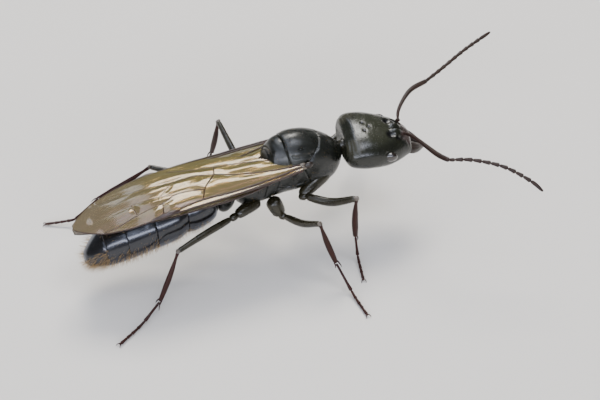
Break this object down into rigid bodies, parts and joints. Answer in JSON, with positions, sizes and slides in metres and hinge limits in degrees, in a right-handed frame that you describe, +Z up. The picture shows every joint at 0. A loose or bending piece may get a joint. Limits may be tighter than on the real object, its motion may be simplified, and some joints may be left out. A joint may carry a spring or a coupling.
{
  "type": "winged ant queen",
  "caption": "Life-size winged queen of a large black hunting ant, standing with her wings folded over her back.",
  "frame": {"origin": "on the floor, under the middle of the ant's box", "axes": "+X the way the ant faces, +Y its left, +Z up"},
  "size_m": [0.0262, 0.0144, 0.0069],
  "materials": {
    "black_cuticle": "satin black cuticle",
    "brown_cuticle": "dark red-brown cuticle",
    "gaster_cuticle": "glossy black cuticle with a blue-white shine",
    "eye_facets": "glossy faceted eye",
    "wing_membrane": "clear amber membrane with brown veins"
  },
  "bodies": {
    "root": {"eye_left": "eye_facets", "eye_right": "eye_facets", "fore_coxa_left": "black_cuticle", "fore_coxa_right": "black_cuticle", "fore_femur_left": "black_cuticle", "fore_femur_right": "black_cuticle", "fore_tarsus_left": "brown_cuticle", "fore_tarsus_right": "brown_cuticle", "fore_tibia_left": "brown_cuticle", "fore_tibia_right": "brown_cuticle", "forewing_left": "wing_membrane", "forewing_right": "wing_membrane", "funiculus_left": "black_cuticle", "funiculus_right": "black_cuticle", "gaster_1": "gaster_cuticle", "gaster_2": "gaster_cuticle", "gaster_3": "gaster_cuticle", "gaster_4": "gaster_cuticle", "gaster_5": "gaster_cuticle", "head": "black_cuticle", "hind_coxa_left": "black_cuticle", "hind_coxa_right": "black_cuticle", "hind_femur_left": "black_cuticle", "hind_femur_right": "black_cuticle", "hind_tarsus_left": "brown_cuticle", "hind_tarsus_right": "brown_cuticle", "hind_tibia_left": "brown_cuticle", "hind_tibia_right": "brown_cuticle", "hindwing_left": "wing_membrane", "hindwing_right": "wing_membrane", "mandible_left": "brown_cuticle", "mandible_right": "brown_cuticle", "mid_coxa_left": "black_cuticle", "mid_coxa_right": "black_cuticle", "mid_femur_left": "black_cuticle", "mid_femur_right": "black_cuticle", "mid_tarsus_left": "brown_cuticle", "mid_tarsus_right": "brown_cuticle", "mid_tibia_left": "brown_cuticle", "mid_tibia_right": "brown_cuticle", "ocellus_front": "eye_facets", "ocellus_left": "eye_facets", "ocellus_right": "eye_facets", "petiole": "black_cuticle", "pleura": "black_cuticle", "pronotum": "black_cuticle", "propodeum": "black_cuticle", "scape_left": "black_cuticle", "scape_right": "black_cuticle", "scutellum": "black_cuticle", "scutum": "black_cuticle"}
  },
  "joints": []
}
